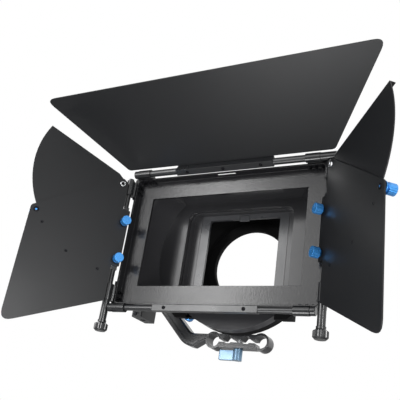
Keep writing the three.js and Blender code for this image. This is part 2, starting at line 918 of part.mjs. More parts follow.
function flagSheet() {
  const slope = Math.tan(radians(flagTopAngle));
  const topAt = (x) => pivotUp + pivotMargin / Math.cos(radians(flagTopAngle)) - (x - pivotOut) * slope;
  const lowAt = (x) => -flagLowInner - (x - flagStart) * Math.tan(radians(flagLowAngle));
  const shape = outline([
    [flagStart, lowAt(flagStart), 2 * gap],
    [flagReach, lowAt(flagReach), flagCorner],
    [flagReach, topAt(flagReach), sheet * 2],
    [pivotOut, topAt(pivotOut), sheet],
    [flagStart, topAt(pivotOut) - (pivotOut - flagStart) * Math.tan(radians(pivotSlope)), sheet],
    [flagStart, flagTabHalf, gap],
    [-flagTabBack, flagTabHalf, sheet],
    [-flagTabBack, -flagTabHalf, sheet],
    [flagStart, -flagTabHalf, gap],
  ]);
  return alongY(shape, flagInner, flagFace);
}

function aroundPivot(radius, degreesBelow) {
  const [x, z] = polar(radius, -degreesBelow);
  return [pivotOut + x, pivotUp + z];
}

// The flag with its three riveted guides, whose heads hold the folded fan's rim.
function sideFlag() {
  const headStart = fanFar + gap;
  const guides = guideAngles.map((angle) => {
    const [x, z] = aroundPivot(guideRadius, angle);
    const stem = rodY(guideStem, flagFace - sheet / 2, headStart + guideHeadHeight, x, z, coarse);
    return join(stem, rodY(guideHead, headStart, headStart + guideHeadHeight, x, z, coarse));
  });
  const [knobX, knobZ] = aroundPivot(guideRadius, fanKnobAngle);
  const holes = [
    rodY(rivetRadius + gap, flagInner - cutOver, flagFace + cutOver, pivotOut, pivotUp, coarse),
    rodY(knobShank + gap, flagInner - cutOver, flagFace + cutOver, knobX, knobZ, coarse),
  ];
  return cut(join(flagSheet(), ...guides), ...holes, ...knobBores());
}

function fanRivet() {
  const rivet = turned(
    [
      [0, flagInner - gap - rivetHeadHeight],
      [rivetHead, flagInner - gap - rivetHeadHeight],
      [rivetHead, flagInner - gap],
      [rivetRadius, flagInner - gap],
      [rivetRadius, fanFar + gap],
      [rivetHead, fanFar + gap],
      [rivetHead, fanFar + gap + rivetHeadHeight],
      [0, fanFar + gap + rivetHeadHeight],
    ],
    coarse,
  );
  return rivet.translate([pivotOut, 0, pivotUp]);
}

// The fan: a sector about the pivot, with a hub round the rivet and a folded finger tab at its tip.
function fan(upperAngle) {
  const along = ([x, z], angle) => {
    const [c, s] = [Math.cos(radians(angle)), Math.sin(radians(angle))];
    return [x * c - z * s, x * s + z * c];
  };
  const rimStart = upperAngle + THREE.MathUtils.radToDeg(Math.asin(fanRise / fanRadius));
  const shape = new THREE.Shape();
  shape.moveTo(...along([-fanHub, -fanHeel], -fanLowAngle));
  shape.absarc(0, 0, fanRadius, radians(-fanLowAngle), radians(rimStart), false);
  shape.lineTo(...along([fanChamfer, fanRise], upperAngle));
  shape.lineTo(...along([-fanHub, fanHubRise], upperAngle));
  shape.closePath();
  const sheetBody = alongY(shape, fanNear, fanFar, fine / 4);
  const tip = Math.sqrt(fanRadius ** 2 - fanRise ** 2);
  const tab = alongY(
    rectangle(tip - fanTabLength, fanRise - fanSheet, tip, fanRise),
    fanFar - gap,
    fanFar + fanTabHeight,
  ).rotate([0, -upperAngle, 0]);
  const hole = rodY(rivetRadius + gap, fanNear - cutOver, fanFar + cutOver, 0, 0, coarse);
  return cut(join(sheetBody, tab), hole).translate([pivotOut, 0, pivotUp]);
}

function fanKnob() {
  const [x, z] = aroundPivot(guideRadius, fanKnobAngle);
  return thumbScrew(fanFar + gap, flagInner - gap, true).translate([x, 0, z]);
}

// Flag lock knobs point the other way, out of the flag's inner face.
function flagKnob(side) {
  const knob = thumbScrew(gap - flagInner, gap - flagInner - knobBite, false);
  return knob.rotate([0, 0, 180]).translate([0, 0, (side * knobSpacing) / 2 - knobDrop]);
}

// Top flag about its hinge axis: it runs forward along -Y, level until its group tilts it.
function topFlag() {
  const low = topBarSquare / 2 + gap;
  const shape = outline([
    [-topTabHalf, topTabBack, gap],
    [-topTabHalf, -topFlagStart],
    [-topFlagInnerHalf, -topFlagStart, topFlagInnerCorner],
    [-topFlagOuterHalf, -topFlagReach, topFlagOuterCorner],
    [topFlagOuterHalf, -topFlagReach, topFlagOuterCorner],
    [topFlagInnerHalf, -topFlagStart, topFlagInnerCorner],
    [topTabHalf, -topFlagStart],
    [topTabHalf, topTabBack, gap],
  ]);
  return alongZ(shape, low, low + sheet);
}

// Assembly

const matteBox = new THREE.Group();
matteBox.add(named("swing_arm", swingArm(), "greyAluminium"));
matteBox.add(named("swing_pin", swingPin(), "steel"));
matteBox.add(named("clamp_lever", clampLever(), "paleBlue"));
matteBox.add(named("clamp_screw", clampScrew(), "steel"));

const box = new THREE.Group();
box.position.z = opticalHeight;
matteBox.add(box);
box.add(named("front_bezel", frontBezel(), "blackPlastic"));
box.add(named("hood_shell", hoodShell(), "blackPlastic"));
box.add(named("stage_frame", stageFrame(), "blackPlastic"));
box.add(named("rotating_stage", rotatingStage(), "darkAluminium"));
box.add(named("filter_tray", filterTray(), "darkAluminium"));
box.add(named("tray_clip", clipPlate(0), "darkAluminium"));
box.add(named("rear_housing", rearHousing(), "darkAluminium"));
box.add(named("stage_lock_knob", lockKnob(), "blue"));
box.add(named("lens_ring", lensRing(), "darkAluminium"));
box.add(named("hinge_block", hingeBlock(), "greyAluminium"));

for (const [vertical, up] of [["top", 1], ["bottom", -1]]) {
  for (const [side, right] of [["left", -1], ["right", 1]]) {
    const bracket = cornerBracket(up, up > 0 ? topBarRadius : barRadius);
    const corner = named(vertical + "_" + side + "_bracket", bracket, "darkAluminium");
    corner.scale.set(right, 1, up);
    box.add(corner);
  }
  const hinge = new THREE.Group();
  hinge.position.set(0, hingeY, up * hingeZ);
  hinge.rotation.x = up > 0 ? -radians(topFlagAngle) : 0;
  const radius = up > 0 ? topBarRadius : barRadius;
  const square = up > 0 ? topBarSquare : barSquare;
  hinge.add(named(vertical + "_hinge_bar", hingeBar(radius, square), "darkAluminium"));
  for (const [side, right] of [["left", -1], ["right", 1]]) {
    const length = up * right > 0 && up > 0 ? longCapLength : capLength;
    const cap = named(vertical + "_bar_cap_" + side, barCap(radius, length), "darkAluminium");
    cap.scale.x = right;
    hinge.add(cap);
  }
  if (up > 0) hinge.add(named("top_flag", topFlag(), "blackSheet"));
  box.add(hinge);
}

for (const [side, right, flagAngle, fanAngle] of [
  ["left", -1, leftFlagAngle, leftFanAngle],
  ["right", 1, rightFlagAngle, rightFanAngle],
]) {
  const mirror = new THREE.Group();
  mirror.scale.x = right;
  const hinge = new THREE.Group();
  hinge.position.set(pinX, hingeY, 0);
  hinge.rotation.z = -radians(flagAngle);
  hinge.add(named(side + "_hinge_bar", sideBar(), "darkAluminium"));
  hinge.add(named(side + "_stem_knob", stemKnob(), "darkAluminium"));
  hinge.add(named(side + "_flag", sideFlag(), "blackSheet"));
  hinge.add(named(side + "_fan_rivet", fanRivet(), "steel"));
  hinge.add(named(side + "_fan", fan(fanAngle), "blackSheet"));
  hinge.add(named(side + "_fan_knob", fanKnob(), "blue"));
  hinge.add(named(side + "_flag_knob_upper", flagKnob(1), "blue"));
  hinge.add(named(side + "_flag_knob_lower", flagKnob(-1), "blue"));
  mirror.add(hinge);
  box.add(mirror);
}

export default matteBox;
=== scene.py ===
"""Looks for a swing-away matte box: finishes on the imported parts, small hardware, studio and camera."""
import json
import math

import bmesh
import bpy
from mathutils import Matrix, Vector


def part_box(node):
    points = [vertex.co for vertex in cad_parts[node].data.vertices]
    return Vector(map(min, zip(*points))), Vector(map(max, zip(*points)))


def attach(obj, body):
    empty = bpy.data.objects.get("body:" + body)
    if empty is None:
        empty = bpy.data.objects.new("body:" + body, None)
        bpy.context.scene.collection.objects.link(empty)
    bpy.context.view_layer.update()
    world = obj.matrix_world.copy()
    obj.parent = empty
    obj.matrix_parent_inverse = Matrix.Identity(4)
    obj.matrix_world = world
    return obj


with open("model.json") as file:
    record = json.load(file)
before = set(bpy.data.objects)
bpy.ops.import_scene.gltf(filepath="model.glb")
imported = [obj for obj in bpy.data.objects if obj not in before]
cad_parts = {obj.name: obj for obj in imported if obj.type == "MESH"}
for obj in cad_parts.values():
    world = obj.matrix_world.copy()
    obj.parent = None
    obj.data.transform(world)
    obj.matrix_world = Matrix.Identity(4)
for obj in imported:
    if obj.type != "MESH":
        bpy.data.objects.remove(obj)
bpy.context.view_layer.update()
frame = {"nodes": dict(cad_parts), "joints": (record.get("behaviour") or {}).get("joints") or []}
nodes = frame["nodes"]
joints = {joint["name"]: joint for joint in frame["joints"]}

MM = 0.001
UP = Vector((0, 0, 1))
SIDES = {"left": -1, "right": 1}


def pivot(name):
    """The point of a joint, in millimetres."""
    return Vector(joints[name]["pos_m"]) / MM


def corners(name):
    """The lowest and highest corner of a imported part, in millimetres."""
    low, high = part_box(name)
    return low / MM, high / MM


# Colours and nodes

def linear(code):
    """An sRGB hex colour as linear RGBA."""
    parts = [int(code[i:i + 2], 16) / 255 for i in (1, 3, 5)]
    return [c / 12.92 if c <= 0.04045 else ((c + 0.055) / 1.055) ** 2.4 for c in parts] + [1.0]


def per_metre(size):
    """Pattern scale for marks of that size in millimetres."""
    return 1 / (size * MM)


def live(sockets, name=None):
    """The first socket in use, or the one of that name or number."""
    if isinstance(name, int):
        return sockets[name]
    return next(s for s in sockets if s.enabled and name in (None, s.name))


def add(tree, kind, links=None, **settings):
    """Adds a node, sets its options and inputs by name, and links inputs to other nodes or sockets.

    An input without a name of its own is given in links by its number, and may be a plain value there.
    """
    made = tree.nodes.new(kind)
    for key, value in settings.items():
        if hasattr(made, key):
            setattr(made, key, value)
        else:
            live(made.inputs, key.replace("_", " ")).default_value = value
    for key, source in (links or {}).items():
        if isinstance(source, float):
            live(made.inputs, key).default_value = source
            continue
        if isinstance(source, bpy.types.Node):
            source = live(source.outputs)
        tree.links.new(source, live(made.inputs, key))
    return made


def begin(name):
    """An empty node material, its tree, and the place on the part in metres."""
    made = bpy.data.materials.new(name)
    made.use_nodes = True
    made.node_tree.nodes.clear()
    return made, made.node_tree, add(made.node_tree, "ShaderNodeTexCoord").outputs["Object"]


# Most of a noise texture's values lie between these
NOISE_LOW = 0.3
NOISE_HIGH = 0.7


def patchy(tree, place, size, dark, pale, dull, glossy):
    """Soft patches of that size in millimetres: colour from dark to pale, roughness from dull to glossy."""
    patches = add(tree, "ShaderNodeTexNoise", {"Vector": place}, Scale=per_metre(size), Detail=3.0)
    tint = add(tree, "ShaderNodeMix", {"Factor": patches}, data_type="RGBA", A=linear(dark), B=linear(pale))
    gloss = add(tree, "ShaderNodeMapRange", {"Value": patches}, From_Min=NOISE_LOW, From_Max=NOISE_HIGH,
                To_Min=dull, To_Max=glossy)
    return tint, gloss


def marked(tree, place, size, detail, strength, depth):
    """Relief of small marks, with their size and depth in millimetres."""
    marks = add(tree, "ShaderNodeTexNoise", {"Vector": place}, Scale=per_metre(size), Detail=detail)
    return add(tree, "ShaderNodeBump", {"Height": marks}, Strength=strength, Distance=depth * MM)


# Finishes

def blasted_anodised():
    """Aluminium, blasted and dyed black: nearly black face on, with soft broad reflections."""
    made, tree, place = begin("black_anodised_blasted")
    # handling leaves patches about 70 mm across a little paler and smoother
    tint, gloss = patchy(tree, place, size=70, dark="#131416", pale="#191a1c", dull=0.38, glossy=0.33)
    # blasting marks are about 0.1 mm, drawn at 0.8 mm so that they show
    relief = marked(tree, place, size=0.8, detail=2.0, strength=0.1, depth=0.05)
    shader = add(tree, "ShaderNodeBsdfPrincipled",
                 {"Base Color": tint, "Roughness": gloss, "Normal": relief}, IOR=1.38)
    add(tree, "ShaderNodeOutputMaterial", {"Surface": shader})
    return made


def grained_abs():
    """Black ABS from a grained mould: a pebbled face that catches a soft light in specks."""
    made, tree, place = begin("grained_abs")
    # the mould's wear leaves patches about 45 mm across a little smoother
    tint, gloss = patchy(tree, place, size=45, dark="#161618", pale="#1c1c1e", dull=0.23, glossy=0.18)
    # the mould's grain is about 0.5 mm across, drawn at 1.8 mm so that it shows
    relief = marked(tree, place, size=1.8, detail=1.0, strength=0.6, depth=0.2)
    shader = add(tree, "ShaderNodeBsdfPrincipled",
                 {"Base Color": tint, "Roughness": gloss, "Normal": relief}, IOR=1.5)
    add(tree, "ShaderNodeOutputMaterial", {"Surface": shader})
    return made


def smooth_abs():
    """Black ABS from a smooth mould: paler than the grained face, with a clear sheen on its curves."""
    made, tree, place = begin("smooth_abs")
    # the plastic cools unevenly, in patches about 50 mm across
    tint, gloss = patchy(tree, place, size=50, dark="#2a2a2c", pale="#323234", dull=0.25, glossy=0.2)
    # the plastic's flow leaves a faint unevenness about 1 mm across
    relief = marked(tree, place, size=1.0, detail=2.0, strength=0.1, depth=0.2)
    shader = add(tree, "ShaderNodeBsdfPrincipled",
                 {"Base Color": tint, "Roughness": gloss, "Normal": relief}, IOR=1.5)
    add(tree, "ShaderNodeOutputMaterial", {"Surface": shader})
    return made


# Tool marks run along X, so their pattern is drawn out that way
MARK_RUN = (0.12, 1.0, 1.0)


def anodised(name, dark, pale, dull, glossy, mark):
    """Machined aluminium dyed black or grey: the clear oxide over the dye gives sharp pale highlights."""
    made, tree, place = begin(name)
    # the dye takes unevenly, in patches about 25 mm across
    tint, gloss = patchy(tree, place, size=25, dark=dark, pale=pale, dull=dull, glossy=glossy)
    drawn = add(tree, "ShaderNodeMapping", {"Vector": place}, Scale=MARK_RUN)
    # the cutter's marks are about 0.1 mm apart, drawn coarser so that they show
    relief = marked(tree, drawn, size=mark, detail=2.0, strength=0.12, depth=0.05)
    shader = add(tree, "ShaderNodeBsdfPrincipled",
                 {"Base Color": tint, "Roughness": gloss, "Normal": relief}, IOR=1.6)
    add(tree, "ShaderNodeOutputMaterial", {"Surface": shader})
    return made


def matt_paint_and_shade():
    """Matt black paint round the light path: a rough film, drawn nearly black so that it also carries painted
    shade for the dark deep in the box.
    """
    made, tree, place = begin("matt_black_paint_and_shade")
    # the film's grain is about 0.3 mm, drawn at 1 mm so that it shows
    film = add(tree, "ShaderNodeTexNoise", {"Vector": place}, Scale=per_metre(1.0), Detail=3.0)
    # the near-black tint is partly the paint's own colour and partly painted shade
    tint = add(tree, "ShaderNodeMix", {"Factor": film}, data_type="RGBA",
               A=linear("#050506"), B=linear("#0b0b0c"))
    relief = add(tree, "ShaderNodeBump", {"Height": film}, Strength=0.5, Distance=0.3 * MM)
    shader = add(tree, "ShaderNodeBsdfPrincipled", {"Base Color": tint, "Normal": relief},
                 Roughness=0.85, IOR=1.3)
    add(tree, "ShaderNodeOutputMaterial", {"Surface": shader})
    return made


def dyed_blue(name, dark, pale, dull, glossy):
    """Aluminium turned bright and dyed blue: a coloured metal under a clear glossy oxide."""
    made, tree, place = begin(name)
    # fingers wear the small knobs in patches about 8 mm across
    tint, gloss = patchy(tree, place, size=8, dark=dark, pale=pale, dull=dull, glossy=glossy)
    # turning marks are about 0.1 mm apart, drawn at 0.5 mm so that they show
    relief = marked(tree, place, size=0.5, detail=1.0, strength=0.1, depth=0.05)
    shader = add(tree, "ShaderNodeBsdfPrincipled",
                 {"Base Color": tint, "Roughness": gloss, "Normal": relief},
                 Metallic=0.6, Coat_Weight=0.6, Coat_Roughness=0.2, Coat_IOR=1.6)
    add(tree, "ShaderNodeOutputMaterial", {"Surface": shader})
    return made


def steel(name, dark, pale, dull, glossy):
    """Turned steel, bright or blacked with oxide: fine marks break up its reflections."""
    made, tree, place = begin(name)
    # oil and oxide leave patches about 6 mm across
    tint, gloss = patchy(tree, place, size=6, dark=dark, pale=pale, dull=dull, glossy=glossy)
    # turning marks are about 0.1 mm apart, drawn at 0.4 mm so that they show
    relief = marked(tree, place, size=0.4, detail=1.0, strength=0.1, depth=0.04)
    shader = add(tree, "ShaderNodeBsdfPrincipled",
                 {"Base Color": tint, "Roughness": gloss, "Normal": relief}, Metallic=1.0)
    add(tree, "ShaderNodeOutputMaterial", {"Surface": shader})
    return made


BLASTED = blasted_anodised()
GRAINED = grained_abs()
SMOOTH = smooth_abs()
TURNED = anodised("black_anodised_turned", "#131416", "#1b1c1e", dull=0.24, glossy=0.17, mark=0.5)
DRAWN = anodised("black_anodised_drawn", "#17181a", "#1f2022", dull=0.34, glossy=0.27, mark=0.6)
MILLED = anodised("black_anodised_milled", "#242527", "#2f3032", dull=0.28, glossy=0.21, mark=0.8)
# The stage's black anodising is drawn paler than the other black parts: painted light standing in for the
# light its disc catches
FACED_PAINTED_LIGHT = anodised("black_anodised_faced_painted_light", "#2c2c2e", "#363639", dull=0.38, glossy=0.31, mark=0.8)
GREY = anodised("grey_anodised", "#3a3b3e", "#434447", dull=0.34, glossy=0.27, mark=0.8)
MATT_AND_SHADE = matt_paint_and_shade()
BLUE = dyed_blue("blue_anodised", "#3490e0", "#449eea", dull=0.3, glossy=0.23)
PALE_BLUE = dyed_blue("pale_blue_anodised", "#567893", "#6a8ba5", dull=0.38, glossy=0.31)
BRIGHT = steel("turned_steel", "#c4c6c9", "#d6d8da", dull=0.3, glossy=0.2)
OXIDE = steel("black_oxide_steel", "#1a1a1c", "#29292c", dull=0.39, glossy=0.29)

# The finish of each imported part. Those not named here are TURNED: brackets, caps, upright bars, stem knobs.
FINISH = {
    "swing_arm": MILLED, "hinge_block": BLASTED, "swing_pin": BRIGHT,
    "clamp_lever": PALE_BLUE, "clamp_screw": BRIGHT,
    "top_hinge_bar": DRAWN, "bottom_hinge_bar": DRAWN,
    "front_bezel": GRAINED, "hood_shell": SMOOTH, "stage_frame": SMOOTH,
    "rotating_stage": FACED_PAINTED_LIGHT, "filter_tray": GREY, "tray_clip": GREY,
    "rear_housing": MATT_AND_SHADE, "lens_ring": MATT_AND_SHADE, "stage_lock_knob": BLUE, "top_flag": BLASTED,
}
for side in SIDES:
    FINISH[side + "_flag"] = BLASTED
    FINISH[side + "_fan"] = BLASTED
    FINISH[side + "_fan_rivet"] = BRIGHT
    FINISH[side + "_fan_knob"] = BLUE
    FINISH[side + "_flag_knob_upper"] = BLUE
    FINISH[side + "_flag_knob_lower"] = BLUE

# The small round on every machined edge, and the larger one on moulded and milled parts, in millimetres
EDGE = 0.45
SOFT_EDGE = {"hood_shell": 1.0, "stage_frame": 0.8, "front_bezel": 0.8, "swing_arm": 0.7}
EDGE_SEGMENTS = 2

# Points closer than this are one, in millimetres, and faces within this angle are one flat, in degrees
WELD_GAP = 0.02
FLAT_WITHIN = 0.6
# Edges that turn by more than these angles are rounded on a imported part, or stay sharp on hardware
ROUND_ABOVE = 28
SHARP_ABOVE = 32


def dress(part, finish, edge):
    """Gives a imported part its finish, flat faces and small rounds on its edges."""
    part.data.materials.clear()
    part.data.materials.append(finish)
    if "custom_normal" in part.data.attributes:
        part.data.attributes.remove(part.data.attributes["custom_normal"])
    part.data.polygons.foreach_set("use_smooth", [True] * len(part.data.polygons))
    weld = part.modifiers.new("weld", "WELD")
    weld.merge_threshold = WELD_GAP * MM
    flatten = part.modifiers.new("flatten", "DECIMATE")
    flatten.decimate_type = "DISSOLVE"
    flatten.angle_limit = math.radians(FLAT_WITHIN)
    rounds = part.modifiers.new("rounds", "BEVEL")
    rounds.limit_method = "ANGLE"
    rounds.angle_limit = math.radians(ROUND_ABOVE)
    rounds.width = edge * MM
    rounds.segments = EDGE_SEGMENTS
    even = part.modifiers.new("even", "WEIGHTED_NORMAL")
    even.keep_sharp = True


for name, part in nodes.items():
    dress(part, FINISH.get(name, TURNED), SOFT_EDGE.get(name, EDGE))


# Shapes built from rings about an axis

def stacked(name, rings, material, count):
    """A closed solid from rings (height, radius) in millimetres. A radius may be a function of the angle."""
    mesh = bmesh.new()
    loops = []
    for height, radius in rings:
        loop = []
        for i in range(count):
            angle = 2 * math.pi * i / count
            r = radius(angle) if callable(radius) else radius
            loop.append(mesh.verts.new((r * math.cos(angle), r * math.sin(angle), height)))
        loops.append(loop)
    for low, high in zip(loops, loops[1:]):
        for i in range(count):
            j = (i + 1) % count
            mesh.faces.new((low[i], low[j], high[j], high[i]))
    mesh.faces.new(loops[0][::-1])
    mesh.faces.new(loops[-1])
    bmesh.ops.recalc_face_normals(mesh, faces=mesh.faces)
    data = bpy.data.meshes.new(name)
    mesh.to_mesh(data)
    mesh.free()
    data.transform(Matrix.Scale(MM, 4))
    data.materials.append(material)
    return data


def hexagon(across):
    """Radius of a hexagon of that width across flats, as a function of the angle."""
    return lambda angle: across / 2 / math.cos((angle % (math.pi / 3)) - math.pi / 6)


def aim(at, axis, roll=0.0):
    """Matrix that carries a shape's own +Z to axis and its origin to at, given in millimetres."""
    turn = Vector(axis).normalized().to_track_quat("Z", "Y").to_matrix().to_4x4()
    return Matrix.Translation(Vector(at) * MM) @ turn @ Matrix.Rotation(roll, 4, "Z")


def gather(name, shapes, body):
    """Joins placed shapes (mesh, matrix) into one named piece that rides on a body."""
    data = bpy.data.meshes.new(name)
    whole = bmesh.new()
    materials = []
    for shape, matrix in shapes:
        copy = shape.copy()
        copy.transform(matrix)
        first = len(whole.faces)
        whole.from_mesh(copy)
        whole.faces.ensure_lookup_table()
        material = copy.materials[0]
        if material not in materials:
            materials.append(material)
        for face in whole.faces[first:]:
            face.material_index = materials.index(material)
        bpy.data.meshes.remove(copy)
    whole.to_mesh(data)
    whole.free()
    for material in materials:
        data.materials.append(material)
    piece = bpy.data.objects.new(name, data)
    bpy.context.scene.collection.objects.link(piece)
    data.polygons.foreach_set("use_smooth", [True] * len(data.polygons))
    data.set_sharp_from_angle(angle=math.radians(SHARP_ABOVE))
    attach(piece, body)


def cap_screw(radius, height):
    """Socket head screw: chamfered head with a hexagonal recess that ends in a drill point."""
    foot = -0.6
    shank = radius * 0.8
    chamfer = height * 0.8
    crown = radius * 0.86
    key = hexagon(radius * 1.05)
    key_floor = height * 0.35
    drill_floor = height * 0.25
    drill = radius * 0.1
    rings = [
        (foot, shank), (0, radius), (chamfer, radius), (height, crown),
        (height, key), (key_floor, key), (drill_floor, drill),
    ]
    return stacked("cap_screw", rings, OXIDE, count=24)


def pan_screw(radius, height):
    """Low domed head with a round driver recess."""
    foot = -0.5
    shank = radius * 0.9
    belly = (height * 0.5, radius * 0.94)
    shoulder = (height * 0.85, radius * 0.7)
    mouth = radius * 0.45
    recess = (height * 0.4, radius * 0.3)
    recess_floor = (height * 0.3, radius * 0.05)
    rings = [(foot, shank), (0, radius), belly, shoulder, (height, mouth), recess, recess_floor]
    return stacked("pan_screw", rings, OXIDE, count=24)


# Screws of the corner brackets, whose heads lie inside the rim

# Thickness of the rim's walls, and where the screws stand on them, in millimetres
RIM_SIDE_WALL = 2.4
RIM_LEVEL_WALL = 1.7
SCREW_BEHIND_FRONT = 5.6
SCREW_PITCH = 7.0
LEVEL_SCREWS = 3
LEVEL_SCREW_X = 100.5
UPRIGHT_SCREWS = 2
UPRIGHT_SCREW_RISE = 64.0
# The two rows of sockets are turned by different amounts, in radians
LEVEL_ROLL = 0.3
UPRIGHT_ROLL = 0.1


def bracket_screws():
    """Four sets of socket head screws, one in each corner of the bezel's rim."""
    head = cap_screw(radius=1.9, height=1.7)
    low, high = corners("front_bezel")
    axis_z = pivot("left_flag_swing").z
    y = low.y + SCREW_BEHIND_FRONT
    for level, up, wall_z in (("top", 1, high.z - RIM_LEVEL_WALL), ("bottom", -1, low.z + RIM_LEVEL_WALL)):
        for side, right in SIDES.items():
            shapes = []
            for i in range(LEVEL_SCREWS):
                x = right * (LEVEL_SCREW_X + SCREW_PITCH * i)
                shapes.append((head, aim((x, y, wall_z), (0, 0, -up), LEVEL_ROLL)))
            for i in range(UPRIGHT_SCREWS):
                z = axis_z + up * (UPRIGHT_SCREW_RISE + SCREW_PITCH * i)
                at = (right * (high.x - RIM_SIDE_WALL), y, z)
                shapes.append((head, aim(at, (-right, 0, 0), UPRIGHT_ROLL)))
            gather(level + "_" + side + "_bracket_screws", shapes, "box")


bracket_screws()


# Screws on the square middles of the two level hinge bars

# Where the outer screws stand, and half the top bar's thickness, in millimetres
BAR_SCREW_X = 46.7
TOP_BAR_HALF = 4.0
# How far the top flag and its bar stand above level, in degrees
TOP_TILT = 28.0


def bar_screws():
    """Three pan head screws on the top bar's front face and two on the bottom bar's."""
    head = pan_screw(radius=2.1, height=1.1)
    tilt = math.radians(TOP_TILT)
    out = Vector((0, -math.sin(tilt), -math.cos(tilt)))
    face = pivot("top_flag_tilt") + out * TOP_BAR_HALF
    shapes = [(head, aim(face + Vector((x, 0, 0)), out)) for x in (-BAR_SCREW_X, 0, BAR_SCREW_X)]
    gather("top_bar_screws", shapes, "top_shade")
    face_y = corners("bottom_hinge_bar")[0].y
    axis_z = pivot("bottom_bar_turn").z
    shapes = [(head, aim((x, face_y, axis_z), (0, -1, 0))) for x in (-BAR_SCREW_X, BAR_SCREW_X)]
    gather("bottom_bar_screws", shapes, "bottom_bar")


bar_screws()


# Ends of the rivets and locks that show on the inner faces of the side flags

# In millimetres: the flag's inner face from its bar's axis, and the fan rivet's head from that face
FLAG_FACE = 5.3
RIVET_HEAD = 0.9
# The three rivets that guide the fan's rim, by their distance from its pivot and degrees below level
GUIDE_RADIUS = 112.0
GUIDE_ANGLES = (42.8, 64.4, 85.7)


def eyelet():
    """Rolled ring on the fan rivet's head."""
    flange = 3.5
    flange_top = 0.5
    crest = 0.9
    crest_outer = 3.0
    crest_inner = 2.2
    bore = (0.3, 1.9)
    well = (0.25, 0.2)
    foot = -0.3
    rings = [(foot, flange), (flange_top, flange), (crest, crest_outer), (crest, crest_inner), bore, well]
    return stacked("eyelet", rings, BRIGHT, count=32)


def barrel_shade_disc():
    """Near-black disc down the eyelet: painted shade for the dark of the rivet's hollow barrel."""
    radius = 1.85
    rise = 0.4
    centre = 0.2
    return stacked("barrel_shade_disc", [(0, radius), (rise, radius), (rise, centre)], MATT_AND_SHADE, count=24)


def rivet_end():
    """Closed end of a guide rivet, with a shallow dish."""
    radius = 1.7
    foot = -0.3
    side = 0.15
    crest = (0.3, 1.3)
    dish = (0.15, 0.9)
    centre = (0.1, 0.1)
    return stacked("rivet_end", [(foot, radius), (side, radius), crest, dish, centre], OXIDE, count=20)


def lock_end():
    """Nut that the fan's lock knob turns in, with its bore."""
    radius = 3.1
    foot = -0.3
    side = 0.5
    face = 0.8
    face_outer = 2.6
    face_inner = 1.5
    bore = (0.3, 1.2)
    well = (0.2, 0.1)
    rings = [(foot, radius), (side, radius), (face, face_outer), (face, face_inner), bore, well]
    return stacked("lock_end", rings, OXIDE, count=28)


def flag_hardware(side):
    """The eyelet, guide rivets and lock end of one side flag."""
    right = SIDES[side]
    hub = pivot(side + "_fan_fold")
    # the fan turns about an axis that stands square on the flag
    axis = Vector(joints[side + "_fan_fold"]["axis"])
    inward = axis if axis.y < 0 else -axis
    out = Vector((-inward.y, inward.x, 0)) * right
    on_face = inward * FLAG_FACE
    head = hub + on_face + inward * RIVET_HEAD
    # the near-black disc in the eyelet is painted shade for the rivet's hollow
    shapes = [(eyelet(), aim(head, inward)), (barrel_shade_disc(), aim(head, inward))]
    guide = rivet_end()
    for degrees in GUIDE_ANGLES:
        below = math.radians(degrees)
        at = hub + (out * math.cos(below) - UP * math.sin(below)) * GUIDE_RADIUS + on_face
        shapes.append((guide, aim(at, inward)))
    shapes.append((lock_end(), aim(pivot(side + "_fan_lock_turn") + on_face, inward)))
    gather(side + "_flag_rivets", shapes, side + "_shade")


for side in SIDES:
    flag_hardware(side)


# Screws of the hinge block and the lens ring

# Places across from the swing pin's axis, and up or down from the block's ends, in millimetres
BLOCK_SCREW_X = -2.2
BLOCK_SCREW_ABOVE_FOOT = 3.9
BLOCK_SCREW_BELOW_TOP = 7.0
SMALL_SCREW_X = 1.3
SMALL_SCREW_ABOVE_FOOT = 4.6
LENS_SCREWS = 6
LENS_SCREW_RADIUS = 54.5


def hinge_block_screws():
    """Two large screws and a small one on the block's front."""
    large = cap_screw(radius=2.3, height=1.0)
    small = cap_screw(radius=1.2, height=0.5)
    low, high = corners("hinge_block")
    pin_x = pivot("swing_away").x
    places = [
        (large, pin_x + BLOCK_SCREW_X, low.z + BLOCK_SCREW_ABOVE_FOOT),
        (small, pin_x + SMALL_SCREW_X, low.z + SMALL_SCREW_ABOVE_FOOT),
        (large, pin_x + BLOCK_SCREW_X, high.z - BLOCK_SCREW_BELOW_TOP),
    ]
    shapes = [(head, aim((x, low.y, z), (0, -1, 0))) for head, x, z in places]
    gather("hinge_block_screws", shapes, "box")


def lens_ring_screws():
    """A ring of small screws on the back of the lens ring, half a step round from level."""
    head = cap_screw(radius=1.7, height=0.5)
    back = corners("lens_ring")[1].y
    axis_z = pivot("left_flag_swing").z
    shapes = []
    for i in range(LENS_SCREWS):
        a = 2 * math.pi * (i + 0.5) / LENS_SCREWS
        at = (LENS_SCREW_RADIUS * math.cos(a), back, axis_z + LENS_SCREW_RADIUS * math.sin(a))
        shapes.append((head, aim(at, (0, 1, 0))))
    gather("lens_ring_screws", shapes, "box")


hinge_block_screws()
lens_ring_screws()


# Studio: pale floor, a white surround for the camera and for reflections, soft lamps

# The floor's height and half its width, in metres
FLOOR_Z = -0.62
FLOOR_HALF = 4.0
# Blotches of the floor paint, in millimetres
MOTTLE = 2000 / 3
# How much paler the camera sees the floor, and how strongly the surround lights what isn't glossy
FLOOR_LIFT = 0.42
SURROUND_FILL = 0.4


